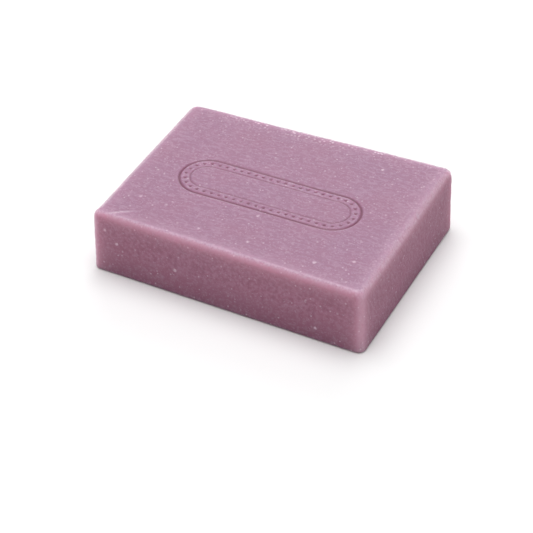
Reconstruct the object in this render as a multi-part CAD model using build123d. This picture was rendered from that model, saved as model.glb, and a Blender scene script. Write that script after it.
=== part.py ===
from build123d import *
import math
import os

# A bar of soap: poured, cut from its loaf with a wire, eased at the edges and pressed with a
# plain beaded frame. It is one solid piece. All sizes are in millimetres.
#
# The origin is the centre of the base's bounding box. +X runs along the length, +Y from the
# front side to the back side, and +Z up. The cut is a little out of square: the bar is wider at
# its +X end and thicker at its back side, and its walls lean in towards the top.

# The cut bar
LENGTH = 80.0
WIDTH_AT_LEFT_END = 57.9
WIDTH_AT_RIGHT_END = 61.6
THICKNESS_AT_FRONT = 19.4
THICKNESS_AT_BACK = 21.0
WALL_DRAFT_DEGREES = 1.6

# Eased edges
UPRIGHT_EDGE_RADIUS = 2.2
TOP_EDGE_RADIUS = 2.4
BASE_EDGE_RADIUS = 0.8

# The frame pressed into the top: an outer groove, a ring of beads and an inner groove, each a
# stadium of the same centre. Its centre lies a little nearer to the front side.
FRAME_LENGTH = 53.0
FRAME_WIDTH = 16.0
FRAME_SHIFT_TO_FRONT = 2.8
OUTER_GROOVE_WIDTH = 0.9
OUTER_GROOVE_DEPTH = 0.4
BEAD_WIDTH = 1.1
BEAD_DEPTH = 0.4
BEAD_PITCH = 2.2
INNER_GROOVE_WIDTH = 0.6
INNER_GROOVE_DEPTH = 0.25
ROW_GAP = 0.5


def top_face_plane():
    """The plane of the bar's top, sloping up from the front side to the back side."""
    mean_width = (WIDTH_AT_LEFT_END + WIDTH_AT_RIGHT_END) / 2
    mean_thickness = (THICKNESS_AT_FRONT + THICKNESS_AT_BACK) / 2
    slope = math.atan2(THICKNESS_AT_BACK - THICKNESS_AT_FRONT, mean_width)
    normal = Vector(0, -math.sin(slope), math.cos(slope))
    return Plane(origin=(0, 0, mean_thickness), x_dir=(1, 0, 0), z_dir=normal)


def cut_bar():
    """The bar as the wire leaves it, with sharp edges."""
    half_length = LENGTH / 2
    half_left = WIDTH_AT_LEFT_END / 2
    half_right = WIDTH_AT_RIGHT_END / 2
    outline = Polygon(
        (-half_length, -half_left),
        (half_length, -half_right),
        (half_length, half_right),
        (-half_length, half_left),
        align=None,
    )
    over_height = 2 * max(THICKNESS_AT_FRONT, THICKNESS_AT_BACK)
    blank = extrude(outline, amount=over_height, taper=WALL_DRAFT_DEGREES)
    return split(blank, bisect_by=top_face_plane(), keep=Keep.BOTTOM)


def ease_edges(bar):
    """The bar with its upright edges rounded first, then the rims of its top and its base."""
    upright_edges = bar.edges().filter_by(lambda edge: abs(edge.tangent_at(0.5).Z) > 0.5)
    bar = fillet(upright_edges, UPRIGHT_EDGE_RADIUS)
    top_rim = bar.faces().sort_by(Axis.Z)[-1].edges()
    bar = fillet(top_rim, TOP_EDGE_RADIUS)
    base_rim = bar.faces().sort_by(Axis.Z)[0].edges()
    return fillet(base_rim, BASE_EDGE_RADIUS)


def arc_radius(width, depth):
    """The radius of a round-bottomed mark of this width and depth."""
    return (width**2 / 4 + depth**2) / (2 * depth)


def frame_line(inset):
    """The stadium that lies this far inside the frame's outer groove, centre to centre."""
    length = FRAME_LENGTH - OUTER_GROOVE_WIDTH - 2 * inset
    width = FRAME_WIDTH - OUTER_GROOVE_WIDTH - 2 * inset
    return (top_face_plane() * Pos(0, -FRAME_SHIFT_TO_FRONT) * SlotOverall(length, width)).wire()


def groove_cutter(inset, width, depth):
    """A round wire bent along a frame line, sunk by the groove's depth."""
    radius = arc_radius(width, depth)
    line = frame_line(inset).translate(top_face_plane().z_dir * (radius - depth))
    section = Plane(origin=line @ 0, z_dir=line % 0) * Circle(radius)
    return sweep(section, path=line)


def bead_cutters(inset):
    """Balls evenly spaced along a frame line, sunk by the bead's depth."""
    radius = arc_radius(BEAD_WIDTH, BEAD_DEPTH)
    line = frame_line(inset).translate(top_face_plane().z_dir * (radius - BEAD_DEPTH))
    count = round(line.length / BEAD_PITCH)
    return [Pos(line @ (index / count)) * Sphere(radius) for index in range(count)]


def press_frame(bar):
    """The bar with the beaded frame pressed into its top."""
    bead_inset = OUTER_GROOVE_WIDTH / 2 + ROW_GAP + BEAD_WIDTH / 2
    inner_inset = bead_inset + BEAD_WIDTH / 2 + ROW_GAP + INNER_GROOVE_WIDTH / 2
    bar -= groove_cutter(0, OUTER_GROOVE_WIDTH, OUTER_GROOVE_DEPTH)
    bar -= groove_cutter(inner_inset, INNER_GROOVE_WIDTH, INNER_GROOVE_DEPTH)
    return bar - bead_cutters(bead_inset)


soap_bar = press_frame(ease_edges(cut_bar()))

os.makedirs("parts", exist_ok=True)
export_step(soap_bar, "parts/soap_bar.step")
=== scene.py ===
import math
import random

import bpy
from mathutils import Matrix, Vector, kdtree, noise
from mathutils.geometry import delaunay_2d_cdt


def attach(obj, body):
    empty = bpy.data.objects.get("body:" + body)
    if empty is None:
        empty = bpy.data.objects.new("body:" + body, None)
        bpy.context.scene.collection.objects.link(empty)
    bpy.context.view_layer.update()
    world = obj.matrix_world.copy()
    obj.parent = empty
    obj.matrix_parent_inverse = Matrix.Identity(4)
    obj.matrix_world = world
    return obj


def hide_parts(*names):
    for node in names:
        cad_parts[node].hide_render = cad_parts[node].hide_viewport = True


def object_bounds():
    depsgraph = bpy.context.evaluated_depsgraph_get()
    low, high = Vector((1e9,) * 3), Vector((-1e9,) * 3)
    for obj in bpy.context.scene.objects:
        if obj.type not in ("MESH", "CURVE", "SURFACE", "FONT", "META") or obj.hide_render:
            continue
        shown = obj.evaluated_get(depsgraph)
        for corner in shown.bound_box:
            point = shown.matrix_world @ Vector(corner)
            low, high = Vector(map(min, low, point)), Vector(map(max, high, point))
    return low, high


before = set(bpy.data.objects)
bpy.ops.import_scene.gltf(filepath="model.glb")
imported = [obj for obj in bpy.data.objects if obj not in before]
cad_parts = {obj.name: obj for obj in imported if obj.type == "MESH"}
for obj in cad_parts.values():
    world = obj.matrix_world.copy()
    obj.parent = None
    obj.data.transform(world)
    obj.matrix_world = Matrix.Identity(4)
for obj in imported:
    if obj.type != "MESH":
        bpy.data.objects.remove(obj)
cad_low, cad_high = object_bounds()

# The looks of a poured, wire-cut bar of soap. The CAD bar gives the overall size. This script
# builds the bar's skin at that size, with the same out-of-square cut and pressed frame, and adds
# what the cut, the cure and handling leave: waves, drag lines, air pits and worn rims. Shape is
# worked out in millimetres and turned to metres when the mesh is written.

MM = 0.001
NODE = "soap_bar"
BODY = "root"

# The bar's block, from the CAD bar's box
HALF_LENGTH = (cad_high.x - cad_low.x) / MM / 2
HALF_WIDTH = (cad_high.y - cad_low.y) / MM / 2
HEIGHT = (cad_high.z - cad_low.z) / MM

# How the cut is out of square: the left end's width and the front's thickness as shares of the
# full ones, the walls' lean, and how far the back right corner flares out
NARROW_END_SHARE = 0.94
THIN_SIDE_SHARE = 0.924
WALL_DRAFT = math.tan(math.radians(1.6))
BACK_RIGHT_FLARE = 0.25
FLARE_POWER = 4

# Eased edges. Each top rim has its inset across the top and its drop down the wall: the front
# one is crisp above a soft shoulder, and the far ones are rounder. Two rims blend within
# RIM_REACH of a corner. The upright edges go by their signs of X and Y.
FRONT_RIM = (1.5, 2.2)
RIGHT_RIM = (2.3, 3.4)
BACK_RIM = (3.3, 3.2)
LEFT_RIM = (3.3, 3.2)
RIM_REACH = 3.5
UPRIGHT_RADII = {(-1, -1): 2.1, (1, -1): 2.4, (1, 1): 1.8, (-1, 1): 3.4}
BASE_RADIUS = 0.8

# The frame pressed into the top
FRAME_LENGTH = 53.0
FRAME_WIDTH = 16.0
FRAME_SHIFT_TO_FRONT = 2.8
OUTER_GROOVE_WIDTH = 0.9
OUTER_GROOVE_DEPTH = 0.4
BEAD_WIDTH = 1.1
BEAD_DEPTH = 0.4
BEAD_PITCH = 2.2
INNER_GROOVE_WIDTH = 0.6
INNER_GROOVE_DEPTH = 0.25
ROW_GAP = 0.5

# The skin's grid: fine lines run where the frame is pressed, and coarse ones elsewhere
RIM_STEPS = 7
BASE_STEPS = 4
WALL_ROWS = 38
FINE_STEP = 0.25
COARSE_STEP = 0.42
FRAME_MARGIN = 0.4
BASE_FILL_STEP = 2.5

# The base's triangles: only those inside its outline, and how near two points are to be one
INSIDE_ONLY = 1
JOIN_DISTANCE = 1e-6


def even_steps(start, end, step):
    """Positions from start up to but not including end, as near to step apart as fits."""
    count = max(1, round((end - start) / step))
    return [start + (end - start) * index / count for index in range(count)]


def rim_insets(inset):
    """Insets from the wall to the top face, evenly spaced round the rim's quarter turn."""
    angles = [math.pi / 2 * index / RIM_STEPS for index in range(RIM_STEPS + 1)]
    return [inset * (1 - math.cos(angle)) for angle in angles]


def grid_lines(half_size, low_rim_inset, high_rim_inset, fine_start, fine_end):
    """Line positions from -half_size to half_size, closest where the frame is pressed."""
    low_rim = [-half_size + inset for inset in rim_insets(low_rim_inset)]
    high_rim = [half_size - inset for inset in reversed(rim_insets(high_rim_inset))]
    lines = low_rim[:-1]
    lines += even_steps(low_rim[-1], fine_start, COARSE_STEP)
    lines += even_steps(fine_start, fine_end, FINE_STEP)
    lines += even_steps(fine_end, high_rim[0], COARSE_STEP)
    return lines + high_rim


def lines_along():
    reach = FRAME_LENGTH / 2 + FRAME_MARGIN
    return grid_lines(HALF_LENGTH, LEFT_RIM[0], RIGHT_RIM[0], -reach, reach)


def lines_across():
    reach = FRAME_WIDTH / 2 + FRAME_MARGIN
    start = -FRAME_SHIFT_TO_FRONT - reach
    end = -FRAME_SHIFT_TO_FRONT + reach
    return grid_lines(HALF_WIDTH, FRONT_RIM[0], BACK_RIM[0], start, end)


def rim_size(x, y):
    """The rim's inset and drop at a grid point, blended from one side to the next at a corner."""
    end_rim = RIGHT_RIM if x > 0 else LEFT_RIM
    side_rim = BACK_RIM if y > 0 else FRONT_RIM
    over_x = max(0.0, abs(x) - HALF_LENGTH + RIM_REACH)
    over_y = max(0.0, abs(y) - HALF_WIDTH + RIM_REACH)
    if over_x == 0:
        return side_rim
    share = over_x**2 / (over_x**2 + over_y**2)
    sizes = zip(end_rim, side_rim)
    return tuple(share * at_end + (1 - share) * at_side for at_end, at_side in sizes)


def plan_point(x, y):
    """A grid point moved on to the rounded plan: its place, its outward direction, its inset."""
    side_x = 1 if x > 0 else -1
    side_y = 1 if y > 0 else -1
    radius = UPRIGHT_RADII[side_x, side_y]
    over_x = abs(x) - (HALF_LENGTH - radius)
    over_y = abs(y) - (HALF_WIDTH - radius)
    reach = max(over_x, over_y)
    inset = radius - reach
    if min(over_x, over_y) <= 0:
        outward = Vector((side_x, 0)) if over_x > over_y else Vector((0, side_y))
        return Vector((x, y)), outward, inset
    angle = math.pi / 4 * min(over_x, over_y) / reach
    if over_y > over_x:
        angle = math.pi / 2 - angle
    outward = Vector((math.cos(angle) * side_x, math.sin(angle) * side_y))
    centre = Vector(((HALF_LENGTH - radius) * side_x, (HALF_WIDTH - radius) * side_y))
    return centre + outward * reach, outward, inset


def cut_out_of_square(point):
    """A point of the plain block moved to the wire-cut bar: drafted, tapered and sloped.

    The front wall stands upright, and the other three lean in towards the top."""
    inward = WALL_DRAFT * point.z
    right_share = (HALF_LENGTH + point.x) / (2 * HALF_LENGTH)
    back_share = (HALF_WIDTH + point.y) / (2 * HALF_WIDTH)
    width_share = NARROW_END_SHARE + (1 - NARROW_END_SHARE) * right_share
    thickness_share = THIN_SIDE_SHARE + (1 - THIN_SIDE_SHARE) * back_share
    flare = BACK_RIGHT_FLARE * right_share**FLARE_POWER * back_share
    x = point.x * (1 - inward / HALF_LENGTH) + flare
    y = (point.y - inward * back_share) * width_share
    return Vector((x, y, point.z * thickness_share))


def grid_boundary(columns, rows):
    """The grid's outermost indices, counter-clockwise seen from above."""
    loop = [(i, 0) for i in range(columns - 1)]
    loop += [(columns - 1, j) for j in range(rows - 1)]
    loop += [(i, rows - 1) for i in range(columns - 1, 0, -1)]
    loop += [(0, j) for j in range(rows - 1, 0, -1)]
    return loop


class Skin:
    """The bar's skin as it is built: each point of the plain block with its direction."""

    def __init__(self):
        self.points = []
        self.directions = []
        self.faces = []

    def add(self, x, y, z, direction):
        self.points.append(Vector((x, y, z)))
        self.directions.append(direction.normalized())
        return len(self.points) - 1

    def add_top(self):
        """The top face and its rims. Returns the indices round its edge."""
        xs, ys = lines_along(), lines_across()
        index_of = {}
        for i, x in enumerate(xs):
            for j, y in enumerate(ys):
                place, outward, inset = plan_point(x, y)
                rim_inset, rim_drop = rim_size(x, y)
                level = max(0.0, rim_inset - inset) / rim_inset
                rise = math.sqrt(max(0.0, 1 - level**2))
                tilt = outward * level * rim_drop
                direction = Vector((tilt.x, tilt.y, rise * rim_inset))
                z = HEIGHT - rim_drop * (1 - rise)
                index_of[i, j] = self.add(place.x, place.y, z, direction)
        for i in range(len(xs) - 1):
            for j in range(len(ys) - 1):
                corners = ((i, j), (i + 1, j), (i + 1, j + 1), (i, j + 1))
                self.faces.append(tuple(index_of[corner] for corner in corners))
        return [index_of[key] for key in grid_boundary(len(xs), len(ys))]

    def add_ring(self, upper, lower):
        """A band of faces between two rings of as many points."""
        for k in range(len(upper)):
            after = (k + 1) % len(upper)
            self.faces.append((upper[k], lower[k], lower[after], upper[after]))

    def add_walls(self, rim):
        """The four walls and the rounded base rim. Returns the lowest ring."""
        tops = [self.points[index] for index in rim]
        outwards = [self.directions[index] for index in rim]
        upper = rim
        for row in range(1, WALL_ROWS + 1):
            share = row / WALL_ROWS
            lower = []
            for top, outward in zip(tops, outwards):
                z = top.z + (BASE_RADIUS - top.z) * share
                lower.append(self.add(top.x, top.y, z, outward))
            self.add_ring(upper, lower)
            upper = lower
        for step in range(1, BASE_STEPS + 1):
            angle = math.pi / 2 * step / BASE_STEPS
            inward = BASE_RADIUS * (1 - math.cos(angle))
            z = BASE_RADIUS * (1 - math.sin(angle))
            lower = []
            for top, outward in zip(tops, outwards):
                direction = outward * math.cos(angle) - Vector((0, 0, math.sin(angle)))
                x = top.x - outward.x * inward
                y = top.y - outward.y * inward
                lower.append(self.add(x, y, z, direction))
            self.add_ring(upper, lower)
            upper = lower
        return upper

    def add_base(self, ring):
        """Even triangles that close the underside."""
        outline = [self.points[index].to_2d() for index in ring]
        reach_x = HALF_LENGTH - BASE_RADIUS - BASE_FILL_STEP / 2
        reach_y = HALF_WIDTH - BASE_RADIUS - BASE_FILL_STEP / 2
        inside = [
            Vector((x, y))
            for x in even_steps(-reach_x, reach_x, BASE_FILL_STEP)[1:]
            for y in even_steps(-reach_y, reach_y, BASE_FILL_STEP)[1:]
        ]
        edges = [(k, (k + 1) % len(outline)) for k in range(len(outline))]
        flat, _, triangles, origins, _, _ = delaunay_2d_cdt(
            outline + inside, edges, [], INSIDE_ONLY, JOIN_DISTANCE
        )
        index_of = []
        for place, origin in zip(flat, origins):
            if origin and origin[0] < len(ring):
                index_of.append(ring[origin[0]])
            else:
                index_of.append(self.add(place.x, place.y, 0.0, Vector((0, 0, -1))))
        self.faces += [tuple(index_of[k] for k in reversed(triangle)) for triangle in triangles]


# ---- Relief


def smooth_share(value, low, high):
    """0 below low, 1 above high, and smooth between."""
    share = min(1.0, max(0.0, (value - low) / (high - low)))
    return share * share * (3 - 2 * share)


def round_mark(distance, width):
    """The depth share of a round-bottomed mark at this distance from its middle."""
    across = 2 * distance / width
    return max(0.0, 1 - across * across)


def stadium_distance(x, y, inset):
    """Distance from the stadium line that lies this far inside the outer groove's middle."""
    radius = (FRAME_WIDTH - OUTER_GROOVE_WIDTH) / 2
    straight = (FRAME_LENGTH - FRAME_WIDTH) / 2
    over = max(0.0, abs(x) - straight)
    return abs(math.hypot(over, y) - (radius - inset))


BEAD_INSET = OUTER_GROOVE_WIDTH / 2 + ROW_GAP + BEAD_WIDTH / 2
INNER_INSET = BEAD_INSET + BEAD_WIDTH / 2 + ROW_GAP + INNER_GROOVE_WIDTH / 2


def bead_centres():
    """Even places along the stadium line of the beads."""
    radius = (FRAME_WIDTH - OUTER_GROOVE_WIDTH) / 2 - BEAD_INSET
    straight = FRAME_LENGTH - FRAME_WIDTH
    half_turn = math.pi * radius
    total = 2 * (straight + half_turn)
    count = round(total / BEAD_PITCH)
    centres = []
    for index in range(count):
        along = total * index / count
        flip = 1 if along < straight + half_turn else -1
        along %= straight + half_turn
        if along < straight:
            x, y = along - straight / 2, -radius
        else:
            angle = (along - straight) / radius
            x, y = straight / 2 + radius * math.sin(angle), -radius * math.cos(angle)
        centres.append(Vector((x * flip, y * flip, 0)))
    return centres


def tree_of(places):
    tree = kdtree.KDTree(len(places))
    for index, place in enumerate(places):
        tree.insert(place, index)
    tree.balance()
    return tree


BEADS = tree_of(bead_centres())


def pressed_depth(x, y):
    """How far the press has sunk the top here, in millimetres."""
    y += FRAME_SHIFT_TO_FRONT
    if abs(x) > FRAME_LENGTH / 2 or abs(y) > FRAME_WIDTH / 2:
        return 0.0
    outer = OUTER_GROOVE_DEPTH * round_mark(stadium_distance(x, y, 0), OUTER_GROOVE_WIDTH)
    inner = INNER_GROOVE_DEPTH * round_mark(stadium_distance(x, y, INNER_INSET), INNER_GROOVE_WIDTH)
    bead = BEAD_DEPTH * round_mark(BEADS.find(Vector((x, y, 0)))[2], BEAD_WIDTH)
    return max(outer, inner, bead)


# The pits that stand out, as (where on the face, width, depth) in millimetres
TOP_PITS = [
    ((-30.5, -18.0), 0.9, 0.22),
    ((-32.0, -5.5), 0.8, 0.15),
    ((-10.0, -24.0), 0.9, 0.20),
    ((4.0, -23.5), 0.8, 0.20),
    ((23.0, -24.0), 1.1, 0.22),
    ((32.0, -19.5), 1.0, 0.22),
    ((1.5, -12.5), 1.0, 0.20),
    ((-22.5, -18.5), 1.3, 0.15),
    ((9.0, 13.0), 0.8, 0.15),
    ((23.0, 20.0), 0.9, 0.20),
    ((30.5, 12.5), 0.8, 0.15),
]
FRONT_PITS = [
    ((-35.5, 14.0), 1.1, 0.20),
    ((-32.0, 10.5), 1.0, 0.30),
    ((-14.5, 8.0), 1.2, 0.22),
    ((8.0, 7.5), 0.8, 0.12),
    ((23.5, 11.5), 1.1, 0.15),
    ((26.5, 4.0), 0.9, 0.25),
    ((32.5, 11.0), 0.9, 0.15),
]

# Each pit has a pale lip this wide, which shows in full on a pit this deep
PIT_LIP_WIDTH = 0.4
FULL_LIP_DEPTH = 0.22

# The scattered pits are small, and most are so shallow that they are specks
SMALL_PIT_WIDTHS = (0.4, 0.8)
SMALL_PIT_DEPTHS = (0.03, 0.14)


def scatter_pits(seed, count, low, high):
    """Small pits anywhere between two corners of an area of a face."""
    draw = random.Random(seed)
    pits = []
    for _ in range(count):
        place = (draw.uniform(low[0], high[0]), draw.uniform(low[1], high[1]))
        pits.append((place, draw.uniform(*SMALL_PIT_WIDTHS), draw.uniform(*SMALL_PIT_DEPTHS)))
    return pits


def pit_finder(pits):
    """A function that gives a face's nearest pit: how deep it is here, and how pale its lip."""
    tree = tree_of([Vector((*place, 0)) for place, _, _ in pits])

    def find(u, v):
        _, index, distance = tree.find(Vector((u, v, 0)))
        _, width, depth = pits[index]
        dent = depth * round_mark(distance, width)
        lip = max(0.0, 1 - distance / (width / 2 + PIT_LIP_WIDTH))
        return dent, lip * min(1.0, depth / FULL_LIP_DEPTH)

    return find


# The areas of the faces that pits are scattered on, each as its low and its high corner
PITTED_X = HALF_LENGTH - 2.5
PITTED_Y = HALF_WIDTH - 3.0
PITTED_Z = (2.0, HEIGHT - 3.5)
TOP_AREA = ((-PITTED_X, -PITTED_Y), (PITTED_X, PITTED_Y))
BACK_RIM_AREA = ((-30.0, 22.5), (PITTED_X, 26.0))
RIGHT_RIM_AREA = ((34.5, -PITTED_Y), (38.0, PITTED_Y))
SIDE_AREA = ((-PITTED_X, PITTED_Z[0]), (PITTED_X, PITTED_Z[1]))
END_AREA = ((-PITTED_Y, PITTED_Z[0]), (PITTED_Y, PITTED_Z[1]))

top_pits = TOP_PITS + scatter_pits(3, 60, *TOP_AREA)
top_pits += scatter_pits(17, 40, *BACK_RIM_AREA)
top_pits += scatter_pits(19, 30, *RIGHT_RIM_AREA)
top_pit = pit_finder(top_pits)
front_pit = pit_finder(FRONT_PITS + scatter_pits(5, 40, *SIDE_AREA))
back_pit = pit_finder(scatter_pits(7, 70, *SIDE_AREA))
right_pit = pit_finder(scatter_pits(11, 50, *END_AREA))
left_pit = pit_finder(scatter_pits(13, 50, *END_AREA))


# How far each seed moves the noise along X, Y and Z
SEED_SHIFT = (17.3, -9.1, 5.7)

# Layers of relief, each as (height, wave lengths along X, Y and Z, seed) in millimetres
SWELL = ((0.10, (19.0, 17.0, 15.0), 9), (0.04, (7.0, 6.0, 6.0), 10))
DRAG_LINES = ((0.016, (3.5, 0.8, 0.8), 1), (0.012, (1.4, 1.1, 1.4), 2))
CURLS = ((0.03, (1.3, 1.3, 1.3), 3), (0.03, (2.8, 2.8, 2.8), 4))
SLANTS = ((0.035, (0.9, 0.8, 2.6), 5),)
SLANT = 0.5


def wave(place, lengths, seed):
    """Smooth noise from -1 to 1 whose waves have these lengths along X, Y and Z."""
    scaled = (value / length for value, length in zip(place, lengths))
    return noise.noise(Vector([value + move * seed for value, move in zip(scaled, SEED_SHIFT)]))


def waves(place, layers):
    """The height here of layers of relief."""
    return sum(height * wave(place, lengths, seed) for height, lengths, seed in layers)


def texture(place, top, side, end):
    """The cut's fine relief: drag lines along the top, curls at the sides, slants at the ends."""
    y = place.y + SLANT * place.z
    z = place.z - SLANT * place.y
    drag = waves(place, DRAG_LINES)
    curls = waves(place, CURLS)
    slants = waves(Vector((place.x, y, z)), SLANTS)
    return top * drag + side * curls + end * slants


def line_distance(x, y, start, end):
    """Distance from a short straight line, and the share of the way along it."""
    along = Vector(end) - Vector(start)
    offset = Vector((x, y)) - Vector(start)
    share = min(1.0, max(0.0, offset.dot(along) / along.length_squared))
    return (offset - along * share).length, share


# A burr drawn in from the front left corner, highest at its crest and tapered over its span (both
# are shares of its length), and a scratch below the frame
BURR = ((-35.6, -29.0), (-28.2, -24.4))
BURR_WIDTH = 0.9
BURR_HEIGHT = 0.22
BURR_CREST = 0.4
BURR_SPAN = 1.2
SCRATCH = ((4.5, -12.9), (14.5, -14.3))
SCRATCH_WIDTH = 0.6
SCRATCH_DEPTH = 0.07


def burr_share(x, y):
    distance, share = line_distance(x, y, *BURR)
    return round_mark(distance, BURR_WIDTH) * round_mark(share - BURR_CREST, BURR_SPAN)


def scratch_share(x, y):
    distance, share = line_distance(x, y, *SCRATCH)
    return round_mark(distance, SCRATCH_WIDTH) * math.sin(math.pi * share)


# How a rim has crumbled: chips in patches, and a fine grain all along. A higher CHIP_LEVEL gives
# more chips. The right end has more of both, between these places along X.
CHIP_DEPTH = 0.28
CHIP_LENGTHS = (1.2, 1.2, 1.2)
CHIP_LEVEL = 0.15
PATCH_LENGTHS = (9.0, 9.0, 9.0)
GRAIN_DEPTH = 0.04
GRAIN_LENGTHS = (0.7, 0.7, 0.7)
WORN_END = (34.0, 38.0)
WORN_END_EXTRA = 0.6


def wear(place, rim):
    """How far a rim has crumbled here, in millimetres."""
    patch = 0.5 + 0.5 * wave(place, PATCH_LENGTHS, 6)
    patch += WORN_END_EXTRA * smooth_share(place.x, *WORN_END)
    chips = max(0.0, wave(place, CHIP_LENGTHS, 7) + CHIP_LEVEL)
    grain = 0.5 + 0.5 * wave(place, GRAIN_LENGTHS, 8)
    return rim * (CHIP_DEPTH * patch * chips + GRAIN_DEPTH * grain)


# How thickly loose pale crumbs lie at the back and the right rims. Each band has how far from the
# wall or below the top it starts and where it is full.
CRUMBS_AT_BACK = 0.65
CRUMBS_AT_RIGHT = 0.15
BACK_BAND = (7.0, 3.0)
RIGHT_BAND = (5.0, 3.0)
UPPER_BAND = (3.0, 1.0)
CRUMB_PATCH_LENGTHS = (11.0, 11.0, 11.0)
CRUMB_PATCH_LEVELS = (-0.3, 0.25)


def band_share(to_edge, band):
    """0 outside a band beside an edge, 1 inside it, and smooth between."""
    start, full = band
    return 1 - smooth_share(to_edge, full, start)


def crumb_share(point):
    """Where loose pale crumbs lie: in patches along the back rim and all along the right one."""
    at_back = band_share(HALF_WIDTH - point.y, BACK_BAND)
    at_right = band_share(HALF_LENGTH - point.x, RIGHT_BAND)
    patch = smooth_share(wave(point, CRUMB_PATCH_LENGTHS, 11), *CRUMB_PATCH_LEVELS)
    above = band_share(HEIGHT - point.z, UPPER_BAND)
    return above * max(CRUMBS_AT_BACK * at_back * patch, CRUMBS_AT_RIGHT * at_right)


# How far the painted glow, which stands in for the light that passes through an edge, shows beside
# it
PAINTED_GLOW_START = 1.0
PAINTED_GLOW_REACH = 2.2


def painted_edge_glow(point):
    """1 at the bar's free edges, fading into each face: a painted glow in place of the light that
    passes through them.
    """
    to_end = HALF_LENGTH - abs(point.x)
    to_side = HALF_WIDTH - abs(point.y)
    to_top = HEIGHT - point.z
    to_edge = sorted((to_end, to_side, to_top))[1]
    return math.exp(-max(0.0, to_edge - PAINTED_GLOW_START) / PAINTED_GLOW_REACH)


# Between these shares of a direction along an axis, one face's look gives way to the next. The
# rim is where the surface has turned away from every axis, in full from RIM_TURN.
FACE_LEVELS = (0.6, 0.9)
RIM_TURN = 0.1

# A rim is most worn above its crest, which lies lower down the rims of the two ends. Its paleness
# there is partly wear and partly a painted highlight where the rim turns up to the light.
CREST_LEVEL = 0.4
CREST_DROP_AT_ENDS = 0.35
CREST_BLEND = 0.4
END_BLEND = (-0.3, 0.3)
LEAST_WORN = 0.4

# The heights above the base at which relief is full, and at which the painted shade that darkens
# the foot ends
RELIEF_RISE = 1.5
FOOT_SHADE_HEIGHT = 13.0


def wear_and_highlight_share(direction, rim_share):
    """How pale and glossy the rim is here: partly wear, and partly a painted highlight where it
    turns up to the light.
    """
    towards_end = smooth_share(abs(direction.x) - abs(direction.y), *END_BLEND)
    crest = CREST_LEVEL - CREST_DROP_AT_ENDS * towards_end
    above_crest = smooth_share(direction.z, crest, crest + CREST_BLEND)
    return rim_share * (LEAST_WORN + (1 - LEAST_WORN) * above_crest)


def finish_point(point, direction):
    """Where a point of the plain block ends up, in metres, and its value in each mask."""
    place = cut_out_of_square(point)
    facing = max(abs(direction.x), abs(direction.y), abs(direction.z))
    rim_share = smooth_share(1 - facing, 0.0, RIM_TURN)
    flat_share = 1 - rim_share
    top = smooth_share(direction.z, *FACE_LEVELS)
    side = smooth_share(abs(direction.y), *FACE_LEVELS)
    end = smooth_share(abs(direction.x), *FACE_LEVELS)
    above_base = smooth_share(place.z, 0.0, RELIEF_RISE)
    relief = waves(place, SWELL)
    relief += texture(place, top, side, end) - wear(place, rim_share)
    wear_and_highlight = wear_and_highlight_share(direction, rim_share)
    dent = lip = pressed = 0.0
    if top > 0:
        pressed = pressed_depth(place.x, place.y)
        dent, lip = top_pit(place.x, place.y)
        burr = top * burr_share(place.x, place.y)
        # The burr's crest is painted pale with the rims: partly wear, partly a painted highlight
        wear_and_highlight = max(wear_and_highlight, burr)
        relief += BURR_HEIGHT * burr - top * SCRATCH_DEPTH * scratch_share(place.x, place.y)
    elif side > 0:
        dent, lip = (front_pit if direction.y < 0 else back_pit)(place.x, place.z)
    elif end > 0:
        dent, lip = (right_pit if direction.x > 0 else left_pit)(place.y, place.z)
    relief -= flat_share * dent
    moved = place + direction * relief * above_base - Vector((0, 0, pressed))
    masks = {
        "top": top,
        "end": end,
        # Rim paleness and gloss: partly wear, partly painted highlight
        "rim": wear_and_highlight * above_base,
        # Painted glow, standing in for light that passes through the edges
        "glow": painted_edge_glow(point),
        # Painted shade, darker towards the base
        "low": 1 - smooth_share(place.z, 0.0, FOOT_SHADE_HEIGHT),
        "crumb": crumb_share(point),
        "fleck": flat_share * lip,
        # Painted shade in the pressed grooves, by how deep they are
        "sunk": pressed / OUTER_GROOVE_DEPTH,
    }
    return moved * MM, masks


def build_bar():
    skin = Skin()
    rim = skin.add_top()
    ring = skin.add_walls(rim)
    skin.add_base(ring)
    places, masks = zip(*(finish_point(*each) for each in zip(skin.points, skin.directions)))
    mesh = bpy.data.meshes.new("bar_of_soap")
    mesh.from_pydata(places, [], skin.faces)
    for name in masks[0]:
        attribute = mesh.attributes.new(name, "FLOAT", "POINT")
        attribute.data.foreach_set("value", [each[name] for each in masks])
    mesh.validate()
    mesh.update()
    mesh.shade_smooth()
    bar = bpy.data.objects.new("bar_of_soap", mesh)
    bpy.context.scene.collection.objects.link(bar)
    return bar


bar = build_bar()


# ---- Material


BODY_COLOUR = (0.37, 0.14, 0.22)
# The deep colour serves the soap's darker streaks and clouds, and also the painted shade on the
# walls, at the foot and in the grooves
DEEP_COLOUR = (0.245, 0.085, 0.148)
LILAC_COLOUR = (0.325, 0.165, 0.265)
# The colour of the painted glow at the edges
PAINTED_GLOW_COLOUR = (0.52, 0.27, 0.355)
PALE_COLOUR = (0.60, 0.44, 0.54)
FLECK_COLOUR = (0.74, 0.60, 0.69)

# How strongly each look shows on the top, on the long sides and on the ends
# The top's least lilac share is a painted sheen. The rest of the lilac comes and goes with the
# clouds in the soap.
PAINTED_SHEEN_LILAC = (0.8, 0.0, 0.0)
MOST_LILAC = (1.0, 0.2, 0.1)
# Painted shade: the walls deeper than the top, and the ends deepest
PAINTED_WALL_SHADE = (0.0, 0.12, 0.45)
# Painted glow beside the walls' edges, and painted paleness beside the top's edges, in place of
# light through them
PAINTED_GLOW_BY_FACE = (0.0, 0.82, 0.88)
PAINTED_GLOW_PALENESS = (0.25, 0.0, 0.0)
FACE_ROUGHNESS = (0.45, 0.62, 0.7)

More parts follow.
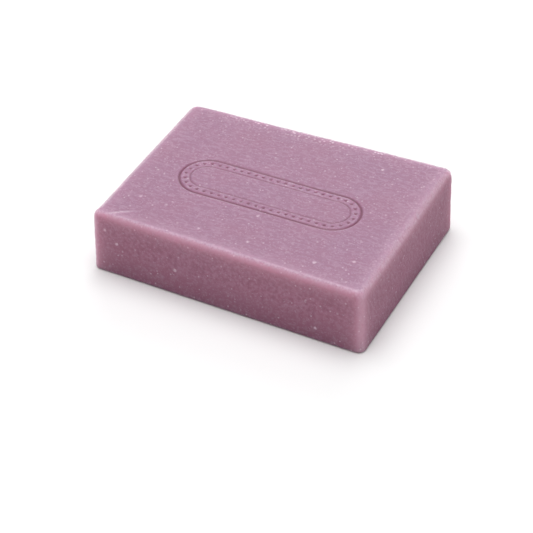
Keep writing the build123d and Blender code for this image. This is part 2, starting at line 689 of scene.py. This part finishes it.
# The same for the looks that come from noise, after the two noise levels that each goes between
DEEP_STREAKS = ((0.6, 0.32), (0.2, 0.66, 0.8))
DEEP_CLOUDS = ((0.5, 0.3), (0.15, 0.5, 0.5))
PALE_STREAKS = ((0.5, 0.8), (0.25, 0.22, 0.2))
PALE_BLOTCHES = ((0.55, 0.75), (0.3, 0.2, 0.2))
PALE_SPECKLES = ((0.6, 0.75), (0.4, 0.28, 0.35))

# How strongly the looks that have a mask of their own show, and the levels that they go between
# Painted shade at the foot
PAINTED_FOOT_SHADE = 0.95
# Pale rims: partly wear, partly painted highlight
PALE_WEAR_AND_HIGHLIGHT = 0.75
PALE_LIPS = 0.75
PALE_CRYSTALS = 0.42
LILAC_LEVELS = (0.3, 0.7)
WEAR_LEVELS = (0.1, 0.6)
LIP_LEVELS = (0.3, 0.65)
LIP_SPECKLE_LEVELS = (0.2, 0.6)
# Painted shade in the pressed grooves
GROOVE_SHADE_LEVELS = (0.05, 0.9)

# Crystals in the soap and crumbs on it: their spacing in metres, and each one's reach as a share
# of the spacing
CRYSTAL_SPACING = 0.0022
CRYSTAL_REACH = 0.14
CRUMB_SPACING = 0.0010
CRUMB_REACH = 0.42

# Bump, in shares of its distance in metres, then gloss and translucency
STREAK_HEIGHT = 0.6
BLOTCH_HEIGHT = 0.4
SPECKLE_HEIGHT = 0.3
BUMP_STRENGTH = 0.4
BUMP_DISTANCE = 0.00015
RIM_ROUGHNESS = 0.33
STREAK_GLOSS = 0.08
SPECULAR_LEVEL = 0.45
SUBSURFACE_WEIGHT = 1.0
SUBSURFACE_RADIUS = (1.0, 0.7, 0.8)
SUBSURFACE_SCALE = 0.008

# Which of a Mix node's sockets take its two values and give its result
MIX_SOCKETS = {"FLOAT": (2, 3, 0), "RGBA": (6, 7, 2)}


class Shader:
    """Short calls that add and link the nodes of one material."""

    def __init__(self, name):
        self.material = bpy.data.materials.new(name)
        self.material.use_nodes = True
        self.tree = self.material.node_tree
        self.surface = self.tree.nodes["Principled BSDF"]
        self.place = self.node("ShaderNodeTexCoord").outputs["Object"]

    def node(self, kind, inputs=None, **settings):
        """A node with these settings. Inputs are values or other nodes' outputs."""
        node = self.tree.nodes.new(kind)
        for name, value in settings.items():
            setattr(node, name, value)
        for name, value in (inputs or {}).items():
            self.feed(node.inputs[name], value)
        return node

    def feed(self, socket, value):
        if isinstance(value, bpy.types.NodeSocket):
            self.tree.links.new(value, socket)
        elif isinstance(value, tuple) and len(value) == 3 and socket.type == "RGBA":
            socket.default_value = (*value, 1)
        else:
            socket.default_value = value

    def mask(self, name):
        return self.node("ShaderNodeAttribute", attribute_name=name).outputs["Fac"]

    def math(self, operation, first, second):
        node = self.node("ShaderNodeMath", operation=operation)
        for socket, value in zip(node.inputs, (first, second)):
            self.feed(socket, value)
        return node.outputs["Value"]

    def add(self, first, second):
        return self.math("ADD", first, second)

    def times(self, first, second):
        return self.math("MULTIPLY", first, second)

    def most(self, value, *others):
        """The highest of these values."""
        for other in others:
            value = self.math("MAXIMUM", value, other)
        return value

    def between(self, data_type, share, first, second):
        """What lies this share of the way from first to second."""
        first_socket, second_socket, result_socket = MIX_SOCKETS[data_type]
        node = self.node("ShaderNodeMix", data_type=data_type, clamp_factor=True)
        self.feed(node.inputs["Factor"], share)
        self.feed(node.inputs[first_socket], first)
        self.feed(node.inputs[second_socket], second)
        return node.outputs[result_socket]

    def mix(self, share, first, second):
        """A colour this share of the way from first to second."""
        return self.between("RGBA", share, first, second)

    def blend(self, share, first, second):
        """A number this share of the way from first to second."""
        return self.between("FLOAT", share, first, second)

    def mapped(self, vector, **settings):
        """A vector turned, scaled or moved."""
        inputs = {"Vector": vector, **settings}
        return self.node("ShaderNodeMapping", inputs).outputs["Vector"]

    def grain(self, lengths, detail, turn=(0.0, 0.0, 0.0), shift=0.0):
        """Noise from 0 to 1 whose waves have these lengths, in metres."""
        turned = self.mapped(self.place, Rotation=turn)
        scale = tuple(1 / length for length in lengths)
        scaled = self.mapped(turned, Scale=scale, Location=(shift, shift, shift))
        inputs = {"Vector": scaled, "Scale": 1.0, "Detail": detail}
        return self.node("ShaderNodeTexNoise", inputs).outputs["Fac"]

    def ramp(self, value, low, high):
        """0 at low, 1 at high, and even between. Low may be the greater of the two."""
        inputs = {"Value": value, "From Min": low, "From Max": high}
        return self.node("ShaderNodeMapRange", inputs).outputs["Result"]

    def crystals(self, spacing, reach):
        """Pale crystals, one in each cell of a random net. The reach is a share of the spacing."""
        net = self.node("ShaderNodeTexVoronoi", {"Vector": self.place, "Scale": 1 / spacing})
        return self.ramp(net.outputs["Distance"], reach, reach / 2)

    def by_face(self, top, side, end):
        """The value for the top, the long sides or the ends, whichever the surface is."""
        walls = self.blend(self.mask("end"), side, end)
        return self.blend(self.mask("top"), walls, top)

    def look(self, value, levels, shares):
        """How strongly a look shows that goes by this value and by the face."""
        return self.times(self.ramp(value, *levels), self.by_face(*shares))


def soap_colour(soap, streaks, speckle, blotch):
    """Mauve soap: mottled by the pour, streaked by the cut, and paler at its rims from wear and a
    painted highlight, with a painted sheen on the top, painted shade on the walls, at the foot and
    in the grooves, and a painted glow at the edges.
    """
    cloud = soap.grain((0.014, 0.012, 0.012), detail=2, shift=12)
    lilac_share = soap.ramp(cloud, *LILAC_LEVELS)
    # Lilac: a painted sheen on the top, and mottling from the clouds on every face
    lilac = soap.blend(lilac_share, soap.by_face(*PAINTED_SHEEN_LILAC), soap.by_face(*MOST_LILAC))
    deep = soap.most(
        soap.look(streaks, *DEEP_STREAKS),
        soap.look(cloud, *DEEP_CLOUDS),
        # Painted shade, darker towards the base
        soap.times(soap.mask("low"), PAINTED_FOOT_SHADE),
        # Painted shade on the walls, deepest on the ends
        soap.by_face(*PAINTED_WALL_SHADE),
    )
    glow = soap.mask("glow")
    # Paleness at the rims: partly wear, partly painted highlight
    wear_and_highlight = soap.times(soap.mask("rim"), soap.ramp(speckle, *WEAR_LEVELS))
    pale = soap.most(
        soap.look(streaks, *PALE_STREAKS),
        soap.look(blotch, *PALE_BLOTCHES),
        soap.look(speckle, *PALE_SPECKLES),
        soap.times(wear_and_highlight, PALE_WEAR_AND_HIGHLIGHT),
    )
    lip = soap.ramp(soap.mask("fleck"), *LIP_LEVELS)
    lips = soap.times(lip, soap.ramp(speckle, *LIP_SPECKLE_LEVELS))
    fleck = soap.most(
        soap.times(lips, PALE_LIPS),
        soap.times(soap.crystals(CRYSTAL_SPACING, CRYSTAL_REACH), PALE_CRYSTALS),
        soap.times(soap.crystals(CRUMB_SPACING, CRUMB_REACH), soap.mask("crumb")),
    )
    layers = [
        (lilac, LILAC_COLOUR),
        (deep, DEEP_COLOUR),
        # Painted glow and painted paleness beside the edges
        (soap.times(glow, soap.by_face(*PAINTED_GLOW_BY_FACE)), PAINTED_GLOW_COLOUR),
        (soap.times(glow, soap.by_face(*PAINTED_GLOW_PALENESS)), PALE_COLOUR),
        (pale, PALE_COLOUR),
        (fleck, FLECK_COLOUR),
        # Painted shade in the pressed grooves
        (soap.ramp(soap.mask("sunk"), *GROOVE_SHADE_LEVELS), DEEP_COLOUR),
    ]
    colour = BODY_COLOUR
    for share, layer_colour in layers:
        colour = soap.mix(share, colour, layer_colour)
    return colour


def soap_material():
    """Translucent soap. Its grain follows the cut: drags, curls and slants, face by face."""
    soap = Shader("soap")
    drag = soap.grain((0.0020, 0.0008, 0.0008), detail=3)
    curls = soap.grain((0.0010, 0.0010, 0.0010), detail=3, shift=4)
    slants = soap.grain((0.0007, 0.0007, 0.0024), detail=3, turn=(math.radians(-25), 0, 0), shift=8)
    streaks = soap.by_face(drag, curls, slants)
    speckle = soap.grain((0.0005, 0.0005, 0.0005), detail=1, shift=16)
    blotch = soap.grain((0.0011, 0.0009, 0.0009), detail=2, shift=20)

    fine = soap.add(soap.times(speckle, SPECKLE_HEIGHT), soap.times(blotch, BLOTCH_HEIGHT))
    height = soap.add(soap.times(streaks, STREAK_HEIGHT), fine)
    bump_inputs = {"Height": height, "Strength": BUMP_STRENGTH, "Distance": BUMP_DISTANCE}
    bump = soap.node("ShaderNodeBump", bump_inputs)
    roughness = soap.blend(soap.mask("rim"), soap.by_face(*FACE_ROUGHNESS), RIM_ROUGHNESS)
    roughness = soap.math("SUBTRACT", roughness, soap.times(streaks, STREAK_GLOSS))

    inputs = soap.surface.inputs
    soap.feed(inputs["Base Color"], soap_colour(soap, streaks, speckle, blotch))
    soap.feed(inputs["Roughness"], roughness)
    soap.feed(inputs["Normal"], bump.outputs["Normal"])
    inputs["Specular IOR Level"].default_value = SPECULAR_LEVEL
    inputs["Subsurface Weight"].default_value = SUBSURFACE_WEIGHT
    inputs["Subsurface Radius"].default_value = SUBSURFACE_RADIUS
    inputs["Subsurface Scale"].default_value = SUBSURFACE_SCALE
    return soap.material


bar.data.materials.append(soap_material())

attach(bar, BODY)
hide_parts(NODE)


# ---- Floor, camera and lights


FLOOR_SIZE = 4
FLOOR_COLOUR = (0.9, 0.9, 0.9)
FLOOR_ROUGHNESS = 0.8

# The camera's angles are in degrees, its distance and aim in metres, and its lens in millimetres
AZIMUTH = 26.05
ELEVATION = 37.6
DISTANCE = 0.4668
AIM = Vector((0.001785, -0.008035, 0))
LENS = 116.85
SENSOR_WIDTH = 36

# Square lights that point at the bar, as (name, place, size, power) in metres and watts
LIGHTS = [
    ("softbox", (-0.05, 0.05, 1.1), 1.0, 12),
    ("backdrop", (-0.45, 1.3, 0.75), 1.2, 6.5),
    ("fill", (-0.6, -1.1, 0.5), 0.8, 1.0),
]
WORLD_COLOUR = (1, 1, 1)
WORLD_STRENGTH = 0.3


def add_to_scene(name, data, place, back):
    """A camera or light at a place, with its back to this direction."""
    thing = bpy.data.objects.new(name, data)
    thing.location = place
    thing.rotation_euler = (-back).to_track_quat("-Z", "Y").to_euler()
    bpy.context.scene.collection.objects.link(thing)
    return thing


bpy.ops.mesh.primitive_plane_add(size=FLOOR_SIZE, location=(0, 0, 0))
floor = bpy.context.object
floor.name = "floor"
floor_material = bpy.data.materials.new("floor")
floor_material.use_nodes = True
floor_inputs = floor_material.node_tree.nodes["Principled BSDF"].inputs
floor_inputs["Base Color"].default_value = (*FLOOR_COLOUR, 1)
floor_inputs["Roughness"].default_value = FLOOR_ROUGHNESS
floor.data.materials.append(floor_material)

azimuth, elevation = math.radians(AZIMUTH), math.radians(ELEVATION)
back_x = math.sin(azimuth) * math.cos(elevation)
back_y = -math.cos(azimuth) * math.cos(elevation)
back = Vector((back_x, back_y, math.sin(elevation)))
camera_data = bpy.data.cameras.new("camera")
camera_data.lens = LENS
camera_data.sensor_width = SENSOR_WIDTH
camera = add_to_scene("camera", camera_data, AIM + back * DISTANCE, back)
bpy.context.scene.camera = camera

for name, place, size, power in LIGHTS:
    light = bpy.data.lights.new(name, "AREA")
    light.shape = "SQUARE"
    light.size = size
    light.energy = power
    add_to_scene(name, light, place, Vector(place))

world = bpy.data.worlds.new("studio")
world.use_nodes = True
background = world.node_tree.nodes["Background"].inputs
background["Color"].default_value = (*WORLD_COLOUR, 1)
background["Strength"].default_value = WORLD_STRENGTH
bpy.context.scene.world = world
bpy.context.scene.view_settings.view_transform = "Standard"
